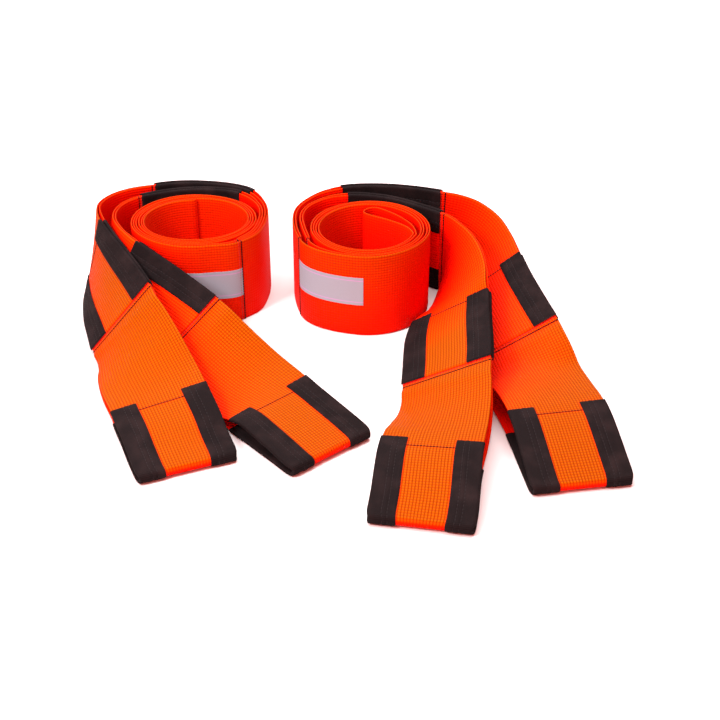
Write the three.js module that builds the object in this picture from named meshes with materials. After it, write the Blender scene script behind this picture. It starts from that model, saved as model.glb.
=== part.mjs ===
// A pair of forearm lifting straps. Each strap is a strip of flat webbing, doubled at the middle and
// wound into a roll that stands on its edge. Both tails leave the roll side by side. Each tail is folded
// back on itself and sewn across at three tacks, which makes three forearm loops: near, middle and end.
// Black binding covers both edges of the outboard stretch of every loop.
//
// Units are millimetres and +Z is up. The routes are laid out around a point on the floor between the
// rolls and the loop ends, and the whole group is moved to its own origin at the end. A ribbon station
// has a point on the middle of the ribbon, the direction of the ribbon's width, and the direction its
// face looks.

import * as THREE from "three";

// Driving dimensions
const WEBBING_WIDTH = 76; // 3 inch webbing
const WEBBING_THICKNESS = 1.6;
const BINDING_THICKNESS = 0.6;
const BINDING_REACH = 20; // how far a binding covers each face
const AIR = 0.3; // space between pieces that touch
const BOUND_LENGTH = 90; // the bound stretch of a near or a middle loop
const TIP_BOUND_LENGTH = 74; // from the start of an end loop's bindings to its tip
const LAYER_PITCH = 2.15; // middle to middle of two layers that lie together
const BOUND_PITCH = 4.1; // the same where both layers are bound
const PITCH_RAMP = 25; // length over which two layers part before they are bound
const TACK_MARGIN = 5; // from the end of the bindings to the tack
const TACK_FOLD = 2.1; // from the last straight station of a loop to the tack
const TACK_START = 0.7; // from a tack to the start of the next loop
const TACK_REACH = 45; // how far past the last tack the two layers still follow its line
const LABEL_LENGTH = 68;
const LABEL_HEIGHT = 26;
const LABEL_THICKNESS = 0.4;
const STANDING = 38.15; // height of the middle of webbing that stands on its edge
const SPAN_HANDLE = 0.36; // share of its length that shapes each end of a roll's last span

// Sampling
const ROLL_STEP = 8;
const SPAN_STEPS = 12;
const UNBOUND_STEPS = 12;
const BOUND_STEPS = 6;
const FOLD_STEPS = 4;
const SPLINE_DETAIL = 40; // points per span when a route is measured

const BINDING_PROUD = AIR + BINDING_THICKNESS;
const HALF_WIDTH = WEBBING_WIDTH / 2;
const HALF_THICKNESS = WEBBING_THICKNESS / 2;
const UP = new THREE.Vector3(0, 0, 1);

const COLOURS = { webbing: 0xf04a0a, binding: 0x2b2729, label: 0xf2e4e4 };

// Routes. A tail's stations are [x, y, z, tilt]: 90 degrees of tilt is webbing on its edge and 0 is
// webbing lying flat. In an end loop, whose two layers part, z and tilt are the upper layer's, and the
// lower layer's follow them. The roll is a spiral; turn -1 winds it clockwise seen from above. Where the
// doubled webbing opens into a teardrop at the middle of the roll, crown lists points round it.
// labelMiddle is the height of the label's middle above the floor.
const STRAPS = {
  right: {
    roll: {
      centre: [6.5, 90],
      drift: 1,
      radius: 39.6,
      stretch: 0.6,
      pitch: 4.7,
      startAngle: -15,
      turn: -1,
      sweep: 810,
      crown: [
        [40, 90.5],
        [26, 101.5],
        [12, 110],
        [4.5, 115.5],
        [3, 119.5],
        [5.5, 124.5],
        [14, 127.5],
        [27, 118],
        [38, 105],
        [45, 92],
      ],
    },
    rollJoinsUpperLayer: false,
    labelMiddle: 43,
    outer: {
      near: [
        [-50.5, 73, 38.15, 90],
        [-54.8, 92, 38.15, 90],
        [-56.6, 113, 38.15, 90],
        [-53.6, 130, 38.15, 90],
        [-44.5, 146, 38.15, 90],
        [-30, 158, 39.3, 90],
        [-8, 167, 39.3, 90],
        [22, 168, 39.3, 90],
        [50, 163, 39.3, 90],
        [76, 154.5, 39.3, 90],
      ],
      middle: [
        [91, 142, 37.5, 72],
        [101, 125, 35, 57],
        [105, 106, 32.5, 46],
        [107.5, 84, 29.5, 38],
        [111.5, 60, 27.5, 34],
        [117, 35, 26, 32],
        [122.5, 12, 24.5, 30],
        [128, -9, 22.5, 27],
      ],
      end: [
        [133, -31, 19.5, 15, 15.6, 16],
        [138, -53, 19.5, 4, 7.5, 7],
        [143.5, -75, 21.5, 0, 4, 1],
        [148.5, -97, 23, 0, 3.2, 0],
        [152, -116, 21.5, 0, 3.2, 0],
        [155, -135, 17.5, 0, 3.2, 0],
        [158, -154, 12.5, 0, 3.2, 0],
        [161, -172.5, 7.4, 0, 3.2, 0],
      ],
    },
    inner: {
      near: [
        [-43.5, 72, 38.15, 90],
        [-48, 92, 38.15, 90],
        [-50.6, 112, 38.15, 90],
        [-46.6, 129, 38.15, 90],
        [-36, 142, 38.15, 90],
        [-20, 149, 39.3, 90],
        [0, 150.5, 39.3, 90],
        [25, 144.5, 39.3, 90],
        [49, 131, 39.3, 90],
        [73.5, 113, 39.3, 90],
      ],
      middle: [
        [78.5, 93, 38.5, 73],
        [81.5, 73, 36.5, 60],
        [80.5, 53, 33.5, 48],
        [76, 33, 29.5, 35],
        [72.5, 9, 27.5, 29],
        [71, -14, 26.5, 27],
        [69.8, -38, 26, 26],
        [68, -60, 24.5, 26],
      ],
      end: [
        [66.5, -80, 22, 24, 16.5, 18],
        [63.5, -100, 20, 18, 8.5, 8],
        [59.5, -119, 20.5, 11, 4.5, 2],
        [55, -138, 23, 5, 3.2, 0],
        [51, -158, 22.5, 3, 3.2, 0],
        [48.3, -178, 18.5, 2, 3.2, 0],
        [45.8, -197.5, 13, 1, 3.2, 0],
        [42.5, -216.7, 7.4, 0, 3.2, 0],
      ],
    },
  },
  left: {
    roll: {
      centre: [-142, 105],
      drift: 0,
      radius: 40.4,
      stretch: 3.4,
      pitch: 4.3,
      startAngle: 95,
      turn: 1,
      sweep: 910,
      crown: [],
    },
    rollJoinsUpperLayer: true,
    labelMiddle: 37.5,
    outer: {
      near: [
        [-99.8, 67, 38.15, 90],
        [-87.4, 81.4, 38.15, 90],
        [-82, 105, 38.15, 90],
        [-82, 127, 38.15, 90],
        [-88, 146, 38.15, 90],
        [-99, 160, 39.3, 90],
        [-116, 169, 39.3, 90],
        [-140, 174, 39.3, 90],
        [-165, 174, 39.3, 90],
        [-188, 168, 39.3, 90],
      ],
      middle: [
        [-207, 158, 40.5, 90],
        [-222, 144, 41.5, 88],
        [-231, 125, 42.5, 84],
        [-230.5, 103, 42, 77],
        [-224, 80, 39.5, 69],
        [-215, 57, 37, 61],
        [-205, 35, 34, 54],
        [-195, 12, 31, 47],
      ],
      end: [
        [-186, -10, 29, 40, 26.2, 36],
        [-177.5, -31, 25.6, 31, 20.3, 25],
        [-169, -51.5, 22, 20, 14.4, 18],
        [-160, -71.5, 19.5, 11, 13, 15],
        [-152, -92, 18.5, 6, 12, 11.5],
        [-143.5, -112, 15.5, 3, 9, 8],
        [-135.5, -132, 10.5, 0, 4, 1],
        [-127.5, -151.5, 7.4, 0, 3.2, 0],
      ],
    },
    inner: {
      near: [
        [-103, 69.2, 38.15, 90],
        [-91.3, 84.2, 38.15, 90],
        [-86.4, 105, 38.15, 90],
        [-86.4, 125, 38.15, 90],
        [-92.5, 141, 38.15, 90],
        [-104, 153, 39.3, 90],
        [-122, 160, 39.3, 90],
        [-148, 161.5, 39.3, 90],
        [-174, 156, 39.3, 90],
        [-197, 145, 39.3, 90],
      ],
      middle: [
        [-212, 128, 40.5, 86],
        [-218.5, 106, 41.5, 79],
        [-215, 83, 41.5, 70],
        [-204.8, 62.3, 40.8, 61],
        [-189.2, 43, 38.8, 53],
        [-172.5, 25, 36.8, 46],
        [-155.5, 7.5, 34, 39],
        [-139, -10.5, 31.5, 33],
      ],
      end: [
        [-124, -27, 27, 28, 23.5, 26],
        [-108, -41.5, 20, 24, 14, 18],
        [-92.5, -55.5, 15, 17, 8.6, 8],
        [-77, -70.5, 13.5, 9, 4.9, 3],
        [-63, -86.5, 14.5, 1, 3.2, 0],
        [-49.5, -102, 12.5, 0, 3.2, 0],
        [-36, -117.5, 10, 0, 3.2, 0],
        [-23, -133, 7.4, 0, 3.2, 0],
      ],
    },
  },
};

const part = new THREE.Group();
part.name = "forearm_lifting_straps";

// Sweeps an outline along the stations. Every quad between two stations is split along the same
// diagonal on both faces of the ribbon, so that its walls stay parallel where the ribbon twists.
function sweepGeometry(outline, stations) {
  const contour = outline.map(([x, y]) => new THREE.Vector2(x, y));
  if (THREE.ShapeUtils.isClockWise(contour)) contour.reverse();
  const size = contour.length;
  const corners = stations.flatMap(({ point, width, face }) =>
    contour.map(({ x, y }) => point.clone().addScaledVector(width, x).addScaledVector(face, y)),
  );
  const faces = THREE.ShapeUtils.triangulateShape(contour, []).flatMap(([a, b, c]) => {
    const last = corners.length - size;
    return [c, b, a, last + a, last + b, last + c];
  });
  for (let start = 0; start < corners.length - size; start += size) {
    contour.forEach((corner, j) => {
      const k = (j + 1) % size;
      const [a, b, c, d] = [start + j, start + k, start + size + k, start + size + j];
      faces.push(...(contour[k].x > corner.x ? [a, b, c, a, c, d] : [a, b, d, b, c, d]));
    });
  }
  const geometry = new THREE.BufferGeometry().setFromPoints(corners);
  geometry.setIndex(faces);
  const flat = geometry.toNonIndexed();
  flat.computeVertexNormals();
  return flat;
}

function addSweep(name, outline, stations, kind) {
  const mesh = new THREE.Mesh(
    sweepGeometry(outline, stations),
    new THREE.MeshStandardMaterial({ color: COLOURS[kind], roughness: 0.85 }),
  );
  mesh.name = name;
  part.add(mesh);
}

function stripOutline(width, thickness, breaks = []) {
  const x = width / 2;
  const y = thickness / 2;
  const across = [-x, ...breaks, x];
  const lower = across.map((value) => [value, -y]);
  const upper = across.map((value) => [value, y]);
  return [...lower, ...upper.reverse()];
}

// A binding's section is a C that wraps one edge of the webbing; side is 1 or -1.
function bindingOutline(side) {
  const mouth = HALF_WIDTH - BINDING_REACH;
  const innerY = HALF_THICKNESS + AIR;
  const outerY = HALF_THICKNESS + BINDING_PROUD;
  const innerX = HALF_WIDTH + AIR;
  const outerX = HALF_WIDTH + BINDING_PROUD;
  const section = [
    [mouth, -outerY],
    [outerX, -outerY],
    [outerX, outerY],
    [mouth, outerY],
    [mouth, innerY],
    [innerX, innerY],
    [innerX, -innerY],
    [mouth, -innerY],
  ];
  return section.map(([x, y]) => [x * side, y]);
}

// A uniform Catmull-Rom spline through rows of numbers, sampled finely and measured along its length.
class Route {
  constructor(rows) {
    this.rows = rows;
    this.samples = [];
    this.lengths = [0];
    for (let i = 0; i < rows.length - 1; i += 1) {
      for (let k = 0; k < SPLINE_DETAIL; k += 1) {
        this.samples.push(this.span(i, k / SPLINE_DETAIL));
      }
    }
    this.samples.push(rows.at(-1));
    for (let i = 1; i < this.samples.length; i += 1) {
      const [a, b] = [this.samples[i - 1], this.samples[i]];
      this.lengths.push(this.lengths[i - 1] + Math.hypot(b[0] - a[0], b[1] - a[1], b[2] - a[2]));
    }
  }

  span(i, t) {
    const { rows } = this;
    const [a, b] = [rows[i], rows[i + 1]];
    const before = i > 0 ? rows[i - 1] : a.map((v, k) => 2 * v - b[k]);
    const after = i + 2 < rows.length ? rows[i + 2] : b.map((v, k) => 2 * v - a[k]);
    return a.map((value, k) => {
      const leave = (b[k] - before[k]) / 2;
      const arrive = (after[k] - value) / 2;
      const rise = b[k] - value;
      const square = 3 * rise - 2 * leave - arrive;
      const cube = leave + arrive - 2 * rise;
      return value + leave * t + square * t ** 2 + cube * t ** 3;
    });
  }

  lengthAt(row) {
    return this.lengths[row * SPLINE_DETAIL];
  }

  get length() {
    return this.lengths.at(-1);
  }

  at(length) {
    let i = this.lengths.findIndex((value) => value > length);
    if (i < 0) i = this.lengths.length - 1;
    i = Math.max(i, 1);
    const t = (length - this.lengths[i - 1]) / (this.lengths[i] - this.lengths[i - 1]);
    return this.samples[i - 1].map((value, k) => value + (this.samples[i][k] - value) * t);
  }
}

// Width and face directions of a ribbon that runs along tangent with this tilt.
function ribbonFrame(tangent, tilt) {
  const level = UP.clone().cross(tangent).normalize();
  const upright = tangent.clone().cross(level);
  const angle = THREE.MathUtils.degToRad(tilt);
  const width = level.multiplyScalar(Math.cos(angle)).addScaledVector(upright, Math.sin(angle));
  return { width, face: tangent.clone().cross(width) };
}

// Faces follow the points: the tangent is taken across each station's neighbours.
function faceAlong(stations) {
  stations.forEach((station, i) => {
    const ahead = stations[Math.min(i + 1, stations.length - 1)].point;
    const behind = stations[Math.max(i - 1, 0)].point;
    const tangent = ahead.clone().sub(behind).normalize();
    station.face = tangent.cross(station.width).normalize();
  });
  return stations;
}

// Stations on the half circle that turns from one layer's end to the other's.
function foldStations(from, to, forward) {
  const middle = from.point.clone().lerp(to.point, 0.5);
  const arm = from.point.clone().sub(middle);
  const reach = forward.clone().multiplyScalar(arm.length());
  const stations = [];
  for (let k = 1; k < FOLD_STEPS; k += 1) {
    const angle = (Math.PI * k) / FOLD_STEPS;
    stations.push({
      point: middle.clone().addScaledVector(arm, Math.cos(angle)).addScaledVector(reach, Math.sin(angle)),
      width: from.width.clone().lerp(to.width, k / FOLD_STEPS).normalize(),
    });
  }
  return stations;
}

function evenSteps(from, to, count) {
  return Array.from({ length: count + 1 }, (_, i) => from + ((to - from) * i) / count);
}

// The two layers of one tail, as a function of the distance from the first tack.
class Tail {
  constructor(spec) {
    const rows = [...spec.near, ...spec.middle, ...spec.end].map((row) => [
      ...row,
      ...(row.length === 4 ? [row[2], row[3]] : []),
    ]);
    this.route = new Route(rows);
    const nearEnd = this.route.lengthAt(spec.near.length - 1);
    const middleEnd = this.route.lengthAt(spec.near.length + spec.middle.length - 1);
    this.tacks = { near: [0, nearEnd], middle: [nearEnd, middleEnd], end: [middleEnd, this.route.length] };
    this.tackWidth = this.station(middleEnd, 1, LAYER_PITCH).width;
  }

  // layer is 1 for the upper layer and -1 for the lower one
  station(length, layer, pitch) {
    const probe = 0.5;
    const parted = layer < 0 && length > this.tacks.end[0];
    const [zColumn, tiltColumn] = parted ? [4, 5] : [2, 3];
    const pick = (row) => new THREE.Vector3(row[0], row[1], row[zColumn]);
    const row = this.route.at(length);
    const ahead = pick(this.route.at(Math.min(length + probe, this.route.length)));
    const behind = pick(this.route.at(Math.max(length - probe, 0)));
    const tangent = ahead.sub(behind).normalize();
    const { width, face } = ribbonFrame(tangent, row[tiltColumn]);
    const point = pick(row).addScaledVector(face, (layer * pitch) / 2);
    const pastTack = length - this.tacks.end[0];
    if (pastTack > 0) {
      const leave = 1 - THREE.MathUtils.smoothstep(pastTack, 0, TACK_REACH);
      width.lerp(this.tackWidth, leave).normalize();
    }
    return { point, width, tangent };
  }
}

// One loop: out along the lower layer, round the fold, and back along the upper layer. Returns its
// stations and the stretches of them that are bound.
function loopStations(tail, loop) {
  const [from, to] = tail.tacks[loop];
  const isEnd = loop === "end";
  const boundEnd = isEnd ? to : to - TACK_MARGIN;
  const boundStart = boundEnd - (isEnd ? TIP_BOUND_LENGTH : BOUND_LENGTH);
  const unbound = evenSteps(from + (isEnd ? 2 : 1) * TACK_START, boundStart, UNBOUND_STEPS);
  const bound = evenSteps(boundStart, boundEnd, BOUND_STEPS).slice(1);
  const lengths = [...unbound, ...bound, ...(isEnd ? [] : [to - TACK_FOLD])];
  const pitchAt = (length) => {
    if (isEnd) return LAYER_PITCH;
    if (length > boundEnd) return LAYER_PITCH;
    const open = THREE.MathUtils.smoothstep(length, boundStart - PITCH_RAMP, boundStart);
    return THREE.MathUtils.lerp(LAYER_PITCH, BOUND_PITCH, open);
  };
  const lower = lengths.map((length) => tail.station(length, -1, pitchAt(length)));
  const upper = lengths.map((length) => tail.station(length, 1, pitchAt(length)));
  const fold = foldStations(lower.at(-1), upper.at(-1), lower.at(-1).tangent);
  const stations = faceAlong([...lower, ...fold, ...upper.reverse()]);
  const last = stations.length - 1;
  const [first, final] = [UNBOUND_STEPS, UNBOUND_STEPS + BOUND_STEPS];
  const stretches = isEnd
    ? { round: [first, last - first] }
    : { lower: [first, final], upper: [last - final, last - first] };
  return { stations, stretches };
}

function addLoop(strapName, tailName, loopName, tail) {
  const name = `${strapName}_${tailName}_${loopName}_loop`;
  const { stations, stretches } = loopStations(tail, loopName);
  const mouth = HALF_WIDTH - BINDING_REACH;
  const outline = stripOutline(WEBBING_WIDTH, WEBBING_THICKNESS, [-mouth, mouth]);
  addSweep(`${name}_webbing`, outline, stations, "webbing");
  for (const [stretchName, [from, to]] of Object.entries(stretches)) {
    for (const [edge, side] of [["head", 1], ["foot", -1]]) {
      const bindingName = `${name}_binding_${edge}_${stretchName}`;
      addSweep(bindingName, bindingOutline(side), stations.slice(from, to + 1), "binding");
    }
  }
}

// The spiral arm of one half of the doubled webbing, from the middle of the roll outwards.
function spiralArm(roll, offset) {
  const step = 5;
  return evenSteps(0, roll.sweep, roll.sweep / step).map((swept) => {
    const turns = (swept - (roll.crown.length ? 0 : 100)) / 360;
    const angle = THREE.MathUtils.degToRad(roll.startAngle + roll.turn * swept);
    const radius = roll.radius + offset + roll.pitch * turns;
    const shift = roll.drift * Math.min(turns, 1);
    return [
      roll.centre[0] + shift + (radius + roll.stretch) * Math.cos(angle),
      roll.centre[1] + (radius - roll.stretch) * Math.sin(angle),
      STANDING,
    ];
  });
}

// The arm joins the layer of the first loop that carries on past the tack. A round span takes it from
// the end of the spiral to the tack.
function rollArm(strap, tail, offset) {
  const layer = strap.rollJoinsUpperLayer ? 1 : -1;
  const tack = tail.station(0, layer, LAYER_PITCH);
  const end = tack.point.addScaledVector(tack.tangent, -TACK_START);
  const spiral = spiralArm(strap.roll, offset).map((row) => new THREE.Vector3(...row));
  const from = spiral.at(-1);
  const heading = from.clone().sub(spiral.at(-2)).normalize();
  const handle = SPAN_HANDLE * from.distanceTo(end);
  const span = new THREE.CubicBezierCurve3(
    from,
    from.clone().addScaledVector(heading, handle),
    end.clone().addScaledVector(tack.tangent, -handle),
    end,
  );
  const points = [...spiral, ...span.getPoints(SPAN_STEPS).slice(1)];
  const route = new Route(points.map((point) => point.toArray()));
  const count = Math.round(route.length / ROLL_STEP);
  return evenSteps(0, route.length, count).map((length) => new THREE.Vector3(...route.at(length)));
}

function rollStations(strap, tails) {
  const innerArm = rollArm(strap, tails.inner, 0);
  const outerArm = rollArm(strap, tails.outer, LAYER_PITCH);
  const upright = (point) => ({ point, width: UP.clone() });
  const [innerStart, outerStart] = [upright(innerArm[0]), upright(outerArm[0])];
  let crown = [];
  if (strap.roll.crown.length) {
    const rows = [innerArm[1], innerArm[0]].map((point) => point.toArray());
    rows.push(...strap.roll.crown.map(([x, y]) => [x, y, STANDING]));
    rows.push(...[outerArm[0], outerArm[1]].map((point) => point.toArray()));
    const route = new Route(rows);
    const [from, to] = [route.lengthAt(1), route.lengthAt(rows.length - 2)];
    const lengths = evenSteps(from, to, Math.round((to - from) / (ROLL_STEP / 2))).slice(1, -1);
    crown = lengths.map((length) => upright(new THREE.Vector3(...route.at(length))));
  } else {
    const forward = innerArm[0].clone().sub(innerArm[1]).normalize();
    crown = foldStations(innerStart, outerStart, forward);
  }
  const inner = innerArm.map(upright).reverse();
  return faceAlong([...inner, ...crown, ...outerArm.map(upright)]);
}

// The label is sewn to the outside of the roll with one end caught in the first tack of the outer tail.
function addLabel(strapName, strap, tails) {
  const outward = HALF_THICKNESS + AIR + LABEL_THICKNESS / 2;
  const arm = rollArm(strap, tails.outer, LAYER_PITCH).reverse();
  const route = new Route(arm.map((point) => point.toArray()));
  const stations = evenSteps(0.5, LABEL_LENGTH, 9).map((length) => ({
    point: new THREE.Vector3(...route.at(length)),
    width: UP.clone(),
  }));
  faceAlong(stations);
  const side = strap.roll.turn;
  stations.forEach((station) => {
    station.point.addScaledVector(station.face, side * -outward);
    station.point.z = strap.labelMiddle;
  });
  addSweep(`${strapName}_label`, stripOutline(LABEL_HEIGHT, LABEL_THICKNESS), stations, "label");
}

for (const [strapName, strap] of Object.entries(STRAPS)) {
  const tails = { inner: new Tail(strap.inner), outer: new Tail(strap.outer) };
  const outline = stripOutline(WEBBING_WIDTH, WEBBING_THICKNESS);
  addSweep(`${strapName}_roll_webbing`, outline, rollStations(strap, tails), "webbing");
  addLabel(strapName, strap, tails);
  for (const [tailName, tail] of Object.entries(tails)) {
    for (const loopName of ["near", "middle", "end"]) {
      addLoop(strapName, tailName, loopName, tail);
    }
  }
}

// The origin is on the floor under the middle of the whole object.
const bounds = new THREE.Box3().setFromObject(part);
const middle = bounds.getCenter(new THREE.Vector3());
part.position.set(-middle.x, -middle.y, -bounds.min.z);

export default part;
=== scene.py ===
"""Looks for a pair of forearm lifting straps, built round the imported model.

Lengths are in metres. Every strip of webbing is a ribbon: a line of stations, each with a point on the
middle of the ribbon, the direction of its width and the direction that its face looks. Everything on a
ribbon is placed by three numbers: how far along it lies, how far across, and how high above the middle
of the webbing. "Head" is the edge that is on top where a strap stands, and "foot" is the other edge.
"""

import math

import bpy
import numpy as np
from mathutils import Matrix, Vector


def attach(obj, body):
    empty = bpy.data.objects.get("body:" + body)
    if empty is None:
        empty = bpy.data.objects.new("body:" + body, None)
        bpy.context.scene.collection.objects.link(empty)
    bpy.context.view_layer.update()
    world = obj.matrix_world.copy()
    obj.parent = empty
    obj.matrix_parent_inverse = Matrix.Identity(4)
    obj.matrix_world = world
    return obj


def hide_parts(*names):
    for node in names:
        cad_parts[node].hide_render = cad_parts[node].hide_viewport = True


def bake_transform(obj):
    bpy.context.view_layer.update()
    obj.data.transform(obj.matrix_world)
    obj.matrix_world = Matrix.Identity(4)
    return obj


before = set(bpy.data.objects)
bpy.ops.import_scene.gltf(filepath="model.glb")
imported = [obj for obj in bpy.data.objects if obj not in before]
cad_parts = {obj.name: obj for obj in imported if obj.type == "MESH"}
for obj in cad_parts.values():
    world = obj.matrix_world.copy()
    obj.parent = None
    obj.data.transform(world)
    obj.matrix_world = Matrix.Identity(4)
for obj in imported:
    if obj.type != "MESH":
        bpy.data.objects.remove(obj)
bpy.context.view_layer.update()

# Driving dimensions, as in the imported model
WEBBING_WIDTH = 0.076
WEBBING_THICKNESS = 0.0016
BINDING_REACH = 0.020  # how far a binding covers each face
BINDING_PROUD = 0.0009  # how far a binding's surface stands off the webbing
BOUND_LENGTH = 0.090  # the bound stretch of a near or a middle loop
TIP_BOUND_LENGTH = 0.074  # from the start of an end loop's bindings to its tip
LAYER_PITCH = 0.00215  # middle to middle of two layers that lie together
BOUND_PITCH = 0.0041  # the same where both layers are bound
PITCH_RAMP = 0.025  # length over which two layers part before they are bound
TACK_MARGIN = 0.005  # from the end of the bindings to the tack
TACK_REACH = 0.045  # how far past the last tack the two layers still follow its line
SPAN_HANDLE = 0.36  # share of its length that shapes each end of a roll's last span
FOLD_LEAD = 100  # degrees of turn before a roll with a shut fold reaches its stated radius
LABEL_LENGTH = 0.068
LABEL_HEIGHT = 0.026
LABEL_OUTSIDE = 0.00125  # how high above the middle of the webbing the label's face is
LABEL_THICKNESS = 0.0004
LABEL_END_GAP = 0.0006  # between the label's caught end and the middle of the tack
STANDING = 0.03815  # height of the middle of webbing that stands on its edge
LAYOUT_ORIGIN = np.array([0.021594, 0.024902, 0.000054])  # where the routes' own origin is in the frame

HALF_WIDTH = WEBBING_WIDTH / 2
HALF_THICKNESS = WEBBING_THICKNESS / 2
UP = np.array([0.0, 0.0, 1.0])
LOWER, UPPER = -1, 1
LOOPS = ("near", "middle", "end")
UPPER_COLUMNS, LOWER_COLUMNS = (2, 3), (4, 5)  # of a tail's rows: z and tilt of each layer

# Detail that only the looks have
TACK_ROWS = (-0.0034, -0.0007)  # a tack's rows of stitches, by their distance from its middle
TACK_DIPS = (0.15, 0.45)  # how far each row squeezes the webbing, as a part of its thickness
TACK_DIP_REACH = 0.0008
PINCH_FADE = (0.0022, 0.005)  # lengths over which two layers part, before and past a tack's rows
SELVEDGE = 0.0026  # the thinner edge of the webbing
SELVEDGE_ROUND = 0.00045
SELVEDGE_BLUNTNESS = 0.06
SELVEDGE_THICKNESS = 0.58  # as a part of the webbing's
TIP_NARROWING = 0.045  # how much narrower an end loop is at the fold of its tip
TIP_REACH = 0.0045
RIM_RISE = 0.001  # how far the turns of a roll rise at most where they stand unevenly
RIM_WAVES = (37, 61)  # two waves of that rise, in radians for each metre of webbing
TURN_LEAN = 0.0002  # how far a turn's edges lean in or out
LEAN_WAVE = 53
STITCH_PITCH = 0.0031
STITCH_LENGTH = 0.0026
THREAD_RADIUS = 0.00027
CLOSE_PITCH = 0.0024  # of rows across the webbing; shorter than a stitch, so that they look unbroken
# A tack's second row has near-black thread stout enough to make the whole dark line at the tack: partly dark
# thread, partly painted shade of the groove where the layers are pinched.
TACK_WEIGHTS = (1.3, 2.3)  # how stout the thread of each row of a tack is beside a binding's
CROSS_WEIGHT = 1.4  # the same for the rows that cross a bound stretch
BINDING_ROWS = (0.0062, 0.0104)  # from a binding's mouth to its rows of stitches
BINDING_GROOVE = 0.00022
BINDING_GROOVE_REACH = 0.0008
BINDING_RIDGE = 0.00018  # between the two rows
BINDING_RIDGE_REACH = 0.0016
BINDING_MOUTH_DROP = 0.55  # how far a binding's mouth comes down to the webbing, as a part of its height
BINDING_MOUTH_REACH = 0.0008
BINDING_ROUND = 0.0012  # how far from its outer edge a binding begins to turn round
BINDING_AIR = 0.0002  # between a binding and the webbing in it
INNER_ROUND = 0.001  # how far from the webbing's edge a binding's inside begins to turn round
LEAST_ROUNDING = 0.05  # keeps the two sides of a section apart at its edges
CROSS_ROW = {"near": 0.005, "middle": 0.005, "end": 0.0085}  # inside the start of a bound stretch
WAVE_FADE = 0.006  # past the last tack, where an end loop's waves begin
BEND = (0.0032, 0.016)  # the stretch past the last tack that bends when an end loop lifts

# Sampling
DETAIL = 40  # points per span when a route is measured
PROBE = 0.0005  # half the length over which a route's direction is measured
STEP = 0.003
FINE_STEP = 0.0005
FINE_REACH = 0.006  # from a tack, how far the fine steps go
TIP_FOLD_STEPS = 14
ROLL_FOLD_STEPS = 7
ARM_DEGREES = 5
SPAN_STEPS = 12
LABEL_STATIONS, LABEL_ACROSS = 24, 13
WEBBING_ACROSS = 23
SELVEDGE_POINTS = (0.0, 0.03, 0.09, 0.2, 0.5, 1.0)  # across a selvedge, from its edge inwards
BINDING_ACROSS = 26
BINDING_TURN_STEPS = 8
SMOOTH_ANGLE = math.radians(50)  # edges that turn more than this stay sharp

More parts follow.
